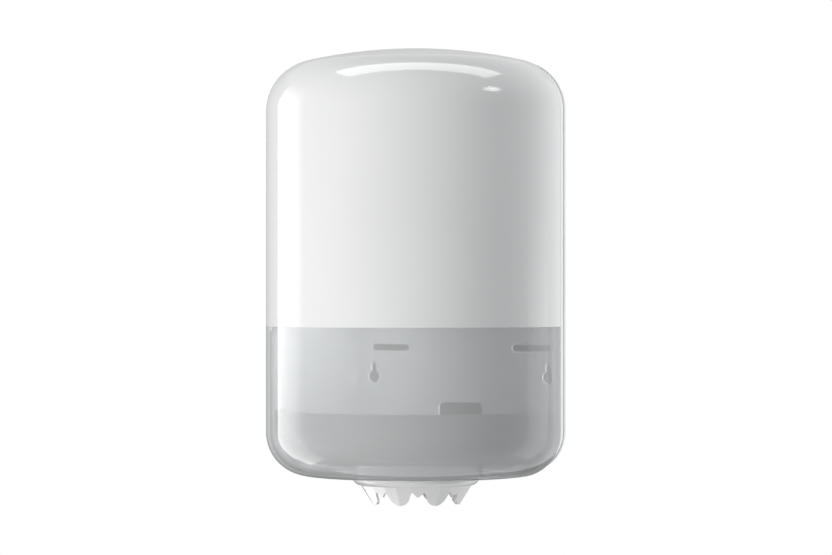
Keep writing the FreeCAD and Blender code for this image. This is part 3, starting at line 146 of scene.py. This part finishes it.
def camera_side(azimuth, distance, height):
    """Point around the nozzle axis; azimuth in degrees, from the camera's side, right positive."""
    turn = CAMERA_AZIMUTH + math.radians(azimuth)
    return NOZZLE_AXIS + Vector((math.sin(turn) * distance, -math.cos(turn) * distance, height))


def make_camera():
    """Camera at the photograph's place, with its nearly level view."""
    data = bpy.data.cameras.new("camera")
    data.lens = CAMERA_LENS
    data.sensor_width = SENSOR_WIDTH
    camera = bpy.data.objects.new("camera", data)
    camera.location = camera_side(0, CAMERA_DISTANCE, CAMERA_HEIGHT)
    camera.rotation_euler = (math.pi / 2 + CAMERA_PITCH, 0, CAMERA_AZIMUTH)
    scene.collection.objects.link(camera)
    scene.camera = camera


def new_material(name):
    """Empty node material and its output node."""
    material = bpy.data.materials.new(name)
    material.use_nodes = True
    material.node_tree.nodes.clear()
    output = material.node_tree.nodes.new("ShaderNodeOutputMaterial")
    return material, material.node_tree, output


def plug(tree, value, socket):
    """Feed a socket with an output, or set it to a number."""
    if isinstance(value, (int, float)):
        socket.default_value = value
    else:
        tree.links.new(value, socket)


def add_node(tree, kind, **values):
    """Shader node with its inputs set by name."""
    node = tree.nodes.new("ShaderNode" + kind)
    for name, value in values.items():
        node.inputs[name.replace("_", " ")].default_value = value
    return node


def combine(tree, operation, first, second):
    """Result of a maths node on two outputs or numbers."""
    node = tree.nodes.new("ShaderNodeMath")
    node.operation = operation
    for socket, value in zip(node.inputs, (first, second)):
        plug(tree, value, socket)
    return node.outputs["Value"]


def map_range(tree, source, given, wanted, smooth=False):
    """Value moved from one pair of limits to another."""
    node = tree.nodes.new("ShaderNodeMapRange")
    if smooth:
        node.interpolation_type = "SMOOTHSTEP"
    node.inputs["From Min"].default_value, node.inputs["From Max"].default_value = given
    node.inputs["To Min"].default_value, node.inputs["To Max"].default_value = wanted
    tree.links.new(source, node.inputs["Value"])
    return node.outputs["Result"]


def spread(tree, noise, low, high):
    """Noise value spread between two limits."""
    return map_range(tree, noise, NOISE_RANGE, (low, high))


def fade(tree, source, limits):
    """Soft step from none at the first value to full at the second."""
    return map_range(tree, source, limits, (0, 1), smooth=True)


def mix_colours(tree, share, first, second):
    """Second colour over the first by a share."""
    node = tree.nodes.new("ShaderNodeMix")
    node.data_type = "RGBA"
    node.inputs["A"].default_value = (*first, 1)
    node.inputs["B"].default_value = (*second, 1)
    tree.links.new(share, node.inputs["Factor"])
    return node.outputs["Result"]


def mix_shaders(tree, share, first, second):
    """Second shader over the first by a share, which is an output or a number."""
    node = tree.nodes.new("ShaderNodeMixShader")
    plug(tree, share, node.inputs["Fac"])
    tree.links.new(first, node.inputs[1])
    tree.links.new(second, node.inputs[2])
    return node.outputs["Shader"]


def object_noise(tree, waves, stretch=(1, 1, 1)):
    """Noise over the object's own coordinates, in waves per metre."""
    place = tree.nodes.new("ShaderNodeTexCoord")
    mapping = add_node(tree, "Mapping", Scale=stretch)
    noise = add_node(tree, "TexNoise", Scale=waves, Detail=NOISE_DETAIL)
    tree.links.new(place.outputs["Object"], mapping.inputs["Vector"])
    tree.links.new(mapping.outputs["Vector"], noise.inputs["Vector"])
    return noise.outputs["Fac"]


def tone(tree, source, colour, change):
    """Colour that darkens a little with a noise value."""
    return mix_colours(tree, source, colour, [part * (1 - change) for part in colour])


def cloudy_tone(tree, colour):
    """Colour of moulded plastic, with its faint change of tone."""
    clouds = object_noise(tree, TONE_WAVES)
    return tone(tree, spread(tree, clouds, 0, 1), colour, TONE_CHANGE)


def relief(tree, source, strength):
    """Normal with fine relief."""
    node = add_node(tree, "Bump", Strength=strength, Distance=RELIEF_DEPTH)
    tree.links.new(source, node.inputs["Height"])
    return node.outputs["Normal"]


def plastic(name, colour, rough, grain, strength, gloss=PLASTIC_GLOSS):
    """Moulded plastic: a faint change of tone and polish, and the tool's fine grain."""
    material, tree, output = new_material(name)
    shader = add_node(tree, "BsdfPrincipled", IOR=PLASTIC_IOR, Specular_IOR_Level=gloss)
    polish = spread(tree, object_noise(tree, POLISH_WAVES),
                    rough * (1 - POLISH_CHANGE), rough * (1 + POLISH_CHANGE))
    tree.links.new(cloudy_tone(tree, colour), shader.inputs["Base Color"])
    tree.links.new(polish, shader.inputs["Roughness"])
    tree.links.new(
        relief(tree, object_noise(tree, grain), strength), shader.inputs["Normal"])
    tree.links.new(shader.outputs["BSDF"], output.inputs["Surface"])
    return material


def metal(name, colour, rough, stretch):
    """Plated or drawn metal with fine streaks."""
    material, tree, output = new_material(name)
    shader = add_node(tree, "BsdfPrincipled", Metallic=1.0)
    streaks = object_noise(tree, STREAK_WAVES, stretch)
    polish = spread(tree, streaks, rough * (1 - STREAK_POLISH), rough * (1 + STREAK_POLISH))
    tree.links.new(tone(tree, streaks, colour, STREAK_TONE), shader.inputs["Base Color"])
    tree.links.new(polish, shader.inputs["Roughness"])
    tree.links.new(relief(tree, streaks, STREAK_RELIEF), shader.inputs["Normal"])
    tree.links.new(shader.outputs["BSDF"], output.inputs["Surface"])
    return material


def sideways_share(tree, power):
    """None where we look straight at a glossy face, one where we look along it."""
    facing = add_node(tree, "LayerWeight", Blend=0.5)
    return combine(tree, "POWER", facing.outputs["Facing"], power)


def inner_side(tree):
    """One where we look at a wall from its inner side."""
    return tree.nodes.new("ShaderNodeNewGeometry").outputs["Backfacing"]


def mirror_share(tree):
    """Share of light that a polished face mirrors, on its outer side."""
    share = map_range(tree, sideways_share(tree, MIRROR_POWER), (0, 1), (MIRROR_LEAST, 1))
    return combine(tree, "MULTIPLY", share, combine(tree, "SUBTRACT", 1, inner_side(tree)))


def haze_share(tree):
    """Share of the window's wall that its haze takes."""
    path = tree.nodes.new("ShaderNodeLightPath")
    depth = map_range(tree, inner_side(tree), (0, 1), (OUTER_HAZE, INNER_HAZE))
    inward = map_range(tree, path.outputs["Is Shadow Ray"], (0, 1), (1, SHADOW_HAZE))
    return combine(tree, "MULTIPLY", depth, inward)


def smoky_plastic(name):
    """Polished plastic with a grey haze: some light passes, and the haze scatters the rest."""
    material, tree, output = new_material(name)
    clear = add_node(tree, "BsdfTransparent")
    edge = sideways_share(tree, EDGE_POWER)
    tree.links.new(mix_colours(tree, edge, CLEAR_TINT, EDGE_TINT), clear.inputs["Color"])
    haze_colour = cloudy_tone(tree, HAZE_COLOUR)
    backward = add_node(tree, "BsdfDiffuse", Roughness=HAZE_ROUGHNESS)
    forward = add_node(tree, "BsdfTranslucent")
    for shader in (backward, forward):
        tree.links.new(haze_colour, shader.inputs["Color"])
    haze = mix_shaders(tree, FORWARD_SHARE, backward.outputs["BSDF"], forward.outputs["BSDF"])
    body = mix_shaders(tree, haze_share(tree), clear.outputs["BSDF"], haze)
    gloss = add_node(tree, "BsdfGlossy", Color=(1, 1, 1, 1))
    polish = spread(tree, object_noise(tree, POLISH_WAVES), *WINDOW_POLISH)
    tree.links.new(polish, gloss.inputs["Roughness"])
    skin = mix_shaders(tree, mirror_share(tree), body, gloss.outputs["BSDF"])
    tree.links.new(skin, output.inputs["Surface"])
    return material


def dress(material, *names):
    """Give CAD nodes a material."""
    for name in names:
        mesh = nodes[name].data
        mesh.materials.clear()
        mesh.materials.append(material)


def dress_all():
    """Materials of every piece; grain is in waves per metre."""
    dress(
        plastic("cover_white", (0.86, 0.865, 0.865), rough=0.08, grain=900, strength=0.02),
        "cover_upper")
    dress(smoky_plastic("window_smoke"), "cover_window")
    dress(
        plastic("shell_white", (0.8, 0.81, 0.81), rough=0.4, grain=600, strength=0.03, gloss=0.35),
        "back_shell")
    # The tray's dark grey is painted shade: it makes the tray darker than the back panel behind
    # the window.
    dress(
        plastic("tray_grey", (0.2, 0.204, 0.208), rough=0.35, grain=1500, strength=0.12),
        "roll_tray")
    dress(
        plastic("nozzle_white", (0.86, 0.86, 0.86), rough=0.12, grain=1200, strength=0.05),
        "nozzle_collar", "nozzle_petals", "nozzle_lock_ring")
    dress(
        plastic("guide_grey", (0.5, 0.51, 0.52), rough=0.4, grain=1500, strength=0.15),
        "paper_guide")
    dress(
        plastic("lock_grey", (0.42, 0.43, 0.44), rough=0.4, grain=1500, strength=0.15),
        "lock_housing", "lock_base", "cover_catch")
    dress(
        plastic("button_grey", (0.62, 0.63, 0.64), rough=0.3, grain=1500, strength=0.1),
        "lock_button", "latch_hook")
    dress(
        metal("screw_steel", (0.65, 0.65, 0.66), rough=0.3, stretch=(1, 1, 4)),
        "tray_screws", "lock_screws", "catch_screws", "hinge_pin_right", "hinge_pin_left")
    dress(
        metal("spring_steel", (0.5, 0.5, 0.52), rough=0.25, stretch=(1, 1, 1)),
        "lock_spring")


def face_dispenser(thing, place):
    """Put a lamp or card at a place, facing the nozzle's axis, its height upright."""
    thing.location = place
    aim = NOZZLE_AXIS - place
    if math.hypot(aim.x, aim.y) > NEARLY_OVERHEAD:
        thing.rotation_euler = aim.to_track_quat("-Z", "Y").to_euler()
    else:
        thing.rotation_euler = (0 if place.z > 0 else math.pi, 0, CAMERA_AZIMUTH)
    scene.collection.objects.link(thing)


def new_lamp(name, shape, power):
    """Area lamp that isn't mirrored or seen, and its data."""
    data = bpy.data.lights.new(name, "AREA")
    data.shape = shape
    data.energy = power
    lamp = bpy.data.objects.new(name, data)
    lamp.visible_camera = False
    lamp.visible_glossy = False
    return lamp, data


def make_lights():
    """Key from the left, rim from the right behind, a weak fill, two low lamps and one above."""
    for name, (azimuth, distance, height, width, length, power) in LAMPS.items():
        lamp, data = new_lamp(name, "RECTANGLE", power)
        data.size = width
        data.size_y = length
        face_dispenser(lamp, camera_side(azimuth, distance, height))
    bpy.data.lights["key"].color = KEY_COLOUR


def make_inner_light():
    """Weak lamp in the roll space, for the light that the white shell scatters inside."""
    lamp, data = new_lamp("inner", "DISK", INNER_POWER)
    data.size = INNER_SIZE
    data.spread = INNER_SPREAD
    lamp.location = INNER_PLACE
    lamp.rotation_euler = (INNER_AIM - INNER_PLACE).to_track_quat("-Z", "Y").to_euler()
    scene.collection.objects.link(lamp)


def mirrored_card(name, outline, shade):
    """Flat or curved card that shows only in reflections, with its brightness from shade."""
    data = bpy.data.meshes.new(name)
    data.from_pydata(outline[0], [], outline[1])
    card = bpy.data.objects.new(name, data)
    for seen in ("camera", "diffuse", "transmission", "shadow", "volume_scatter"):
        setattr(card, "visible_" + seen, False)
    material, tree, output = new_material(name)
    material.cycles.emission_sampling = "NONE"
    place = tree.nodes.new("ShaderNodeTexCoord")
    parts = tree.nodes.new("ShaderNodeSeparateXYZ")
    glow = add_node(tree, "Emission", Color=(1, 1, 1, 1))
    tree.links.new(place.outputs["Object"], parts.inputs["Vector"])
    tree.links.new(shade(tree, parts.outputs), glow.inputs["Strength"])
    tree.links.new(glow.outputs["Emission"], output.inputs["Surface"])
    data.materials.append(material)
    return card


def rectangle(width, length):
    """Corners and face of a flat card."""
    across, up = width / 2, length / 2
    return [(-across, -up, 0), (across, -up, 0), (across, up, 0), (-across, up, 0)], [(0, 1, 2, 3)]


def ellipse(width, length):
    """Corners and face of an oval card."""
    turns = [2 * math.pi * step / SPOT_CORNERS for step in range(SPOT_CORNERS)]
    points = [(math.cos(turn) * width / 2, math.sin(turn) * length / 2, 0) for turn in turns]
    return points, [tuple(range(SPOT_CORNERS))]


def even(strength):
    """Shade of a card that is as bright all over."""
    return lambda tree, parts: combine(tree, "ADD", strength, 0)


def over_studio(tree, share, extra):
    """Brightness of the white studio, and a share of something extra."""
    return combine(tree, "ADD", combine(tree, "MULTIPLY", share, extra), 1)


def strip_shade(tree, parts):
    """Bright at the far edge, fading towards us and at the top into the white studio."""
    edge = fade(tree, parts["X"], STRIP_EDGE)
    sideways = fade(tree, parts["X"], STRIP_SLOPE)
    slope = combine(
        tree, "ADD", combine(tree, "MULTIPLY", sideways, SLOPE_SHARE), 1 - SLOPE_SHARE)
    upwards = fade(tree, parts["Y"], STRIP_TOP)
    share = combine(tree, "MULTIPLY", combine(tree, "MULTIPLY", edge, slope), upwards)
    return over_studio(tree, share, STRIP_EXTRA)


def right_strip_shade(tree, parts):
    """Weak strip that fades out upwards."""
    return over_studio(tree, fade(tree, parts["Y"], RIGHT_STRIP_TOP), RIGHT_STRIP_EXTRA)


def spot_shade(tree, parts):
    """Bright in the middle, fading to the rim into the white studio."""
    across = combine(tree, "DIVIDE", parts["X"], SPOT[3] / 2)
    up = combine(tree, "DIVIDE", parts["Y"], SPOT[4] / 2)
    square = combine(
        tree, "ADD", combine(tree, "POWER", across, 2), combine(tree, "POWER", up, 2))
    return over_studio(tree, fade(tree, square, (1, 0)), SPOT_EXTRA)


def backdrop_shade(tree, parts):
    """Grey that gets darker towards the floor."""
    height = combine(
        tree, "DIVIDE", combine(tree, "SUBTRACT", parts["Z"], CARD_LOW), CARD_HIGH - CARD_LOW)
    return combine(tree, "ADD", combine(tree, "MULTIPLY", height, CARD_RISE), CARD_DARK)


def backdrop_outline():
    """Corners and faces of an upright card, bent round the back, with a foot along the floor."""
    points = []
    faces = []
    edges = ((CARD_FOOT, CARD_LOW), (CARD_RADIUS, CARD_LOW), (CARD_RADIUS, CARD_HIGH))
    for step in range(CARD_STEPS + 1):
        azimuth = CARD_START + (CARD_END - CARD_START) * step / CARD_STEPS
        points += [tuple(camera_side(azimuth, radius, height)) for radius, height in edges]
    for corner in range(0, CARD_STEPS * len(edges), len(edges)):
        after = corner + len(edges)
        faces += [(part, after + part - corner, after + part - corner + 1, part + 1)
                  for part in (corner, corner + 1)]
    return points, faces


def make_cards():
    """Bright cards that make the highlights, and the grey one that draws the outline."""
    for name, (azimuth, distance, height, width, length), outline, shade in (
            ("strip", STRIP, rectangle, strip_shade),
            ("right_strip", RIGHT_STRIP, rectangle, right_strip_shade),
            ("top_card", TOP_CARD, rectangle, even(TOP_GLOW)),
            ("low_card", LOW_CARD, rectangle, even(LOW_GLOW)),
            ("spot", SPOT, ellipse, spot_shade)):
        face_dispenser(
            mirrored_card(name, outline(width, length), shade),
            camera_side(azimuth, distance, height))
    scene.collection.objects.link(
        mirrored_card("backdrop_card", backdrop_outline(), backdrop_shade))


def seen_in_mirror(tree):
    """One for rays from a mirror or a clear part."""
    path = tree.nodes.new("ShaderNodeLightPath")
    return combine(
        tree, "MAXIMUM", path.outputs["Is Glossy Ray"], path.outputs["Is Transmission Ray"])


def seen_by_camera(tree):
    """One for rays from the camera."""
    return tree.nodes.new("ShaderNodeLightPath").outputs["Is Camera Ray"]


def make_world():
    """Even studio surroundings, white where the camera or a reflection sees them."""
    world = bpy.data.worlds.new("studio")
    world.use_nodes = True
    tree = world.node_tree
    tree.nodes.clear()
    output = tree.nodes.new("ShaderNodeOutputWorld")
    seen = add_node(tree, "Background", Color=(1, 1, 1, 1), Strength=1.0)
    lit = add_node(tree, "Background", Color=(*STUDIO_TINT, 1), Strength=STUDIO_LIGHT)
    share = combine(tree, "MAXIMUM", seen_by_camera(tree), seen_in_mirror(tree))
    studio = mix_shaders(tree, share, lit.outputs["Background"], seen.outputs["Background"])
    tree.links.new(studio, output.inputs["Surface"])
    scene.world = world


def make_floor():
    """Pale floor far below, white to the camera where the object's shadow doesn't fall."""
    bpy.ops.mesh.primitive_plane_add(size=FLOOR_SIZE, location=FLOOR_PLACE)
    floor = bpy.context.object
    floor.name = "floor"
    material, tree, output = new_material("floor")
    material.cycles.emission_sampling = "NONE"
    pale = add_node(tree, "BsdfDiffuse", Color=(*FLOOR_GREY, 1))
    white = add_node(tree, "Emission", Color=(1, 1, 1, 1), Strength=1.0)
    lit = add_node(tree, "BsdfDiffuse", Color=(*FLOOR_SEEN, 1))
    glow = add_node(tree, "Emission", Color=(1, 1, 1, 1), Strength=FLOOR_GLOW)
    seen = tree.nodes.new("ShaderNodeAddShader")
    tree.links.new(lit.outputs["BSDF"], seen.inputs[0])
    tree.links.new(glow.outputs["Emission"], seen.inputs[1])
    mirrored = mix_shaders(
        tree, seen_in_mirror(tree), pale.outputs["BSDF"], white.outputs["Emission"])
    surface = mix_shaders(tree, seen_by_camera(tree), mirrored, seen.outputs["Shader"])
    tree.links.new(surface, output.inputs["Surface"])
    floor.data.materials.append(material)


def make_wall_patch():
    """Stretch of wall behind the back shell, seen only from the front, through its openings; its
    near-black is painted shade.
    """
    bpy.ops.mesh.primitive_plane_add(
        size=1, location=(0, WALL_GAP, (PATCH_LOW + PATCH_HIGH) / 2), rotation=(math.pi / 2, 0, 0))
    patch = bpy.context.object
    patch.name = "wall_patch"
    patch.scale = (PATCH_WIDTH, PATCH_HIGH - PATCH_LOW, 1)
    material, tree, output = new_material("wall_patch")
    clear = add_node(tree, "BsdfTransparent")
    # Near-black diffuse: painted shade for the wall in the shell's shade.
    pale = add_node(tree, "BsdfDiffuse", Color=(*WALL_PAINTED_SHADE, 1))
    surface = mix_shaders(tree, inner_side(tree), pale.outputs["BSDF"], clear.outputs["BSDF"])
    tree.links.new(surface, output.inputs["Surface"])
    patch.data.materials.append(material)
    for seen in ("diffuse", "glossy", "shadow"):
        setattr(patch, "visible_" + seen, False)


make_camera()
dress_all()
make_world()
make_lights()
make_inner_light()
make_floor()
make_cards()
make_wall_patch()
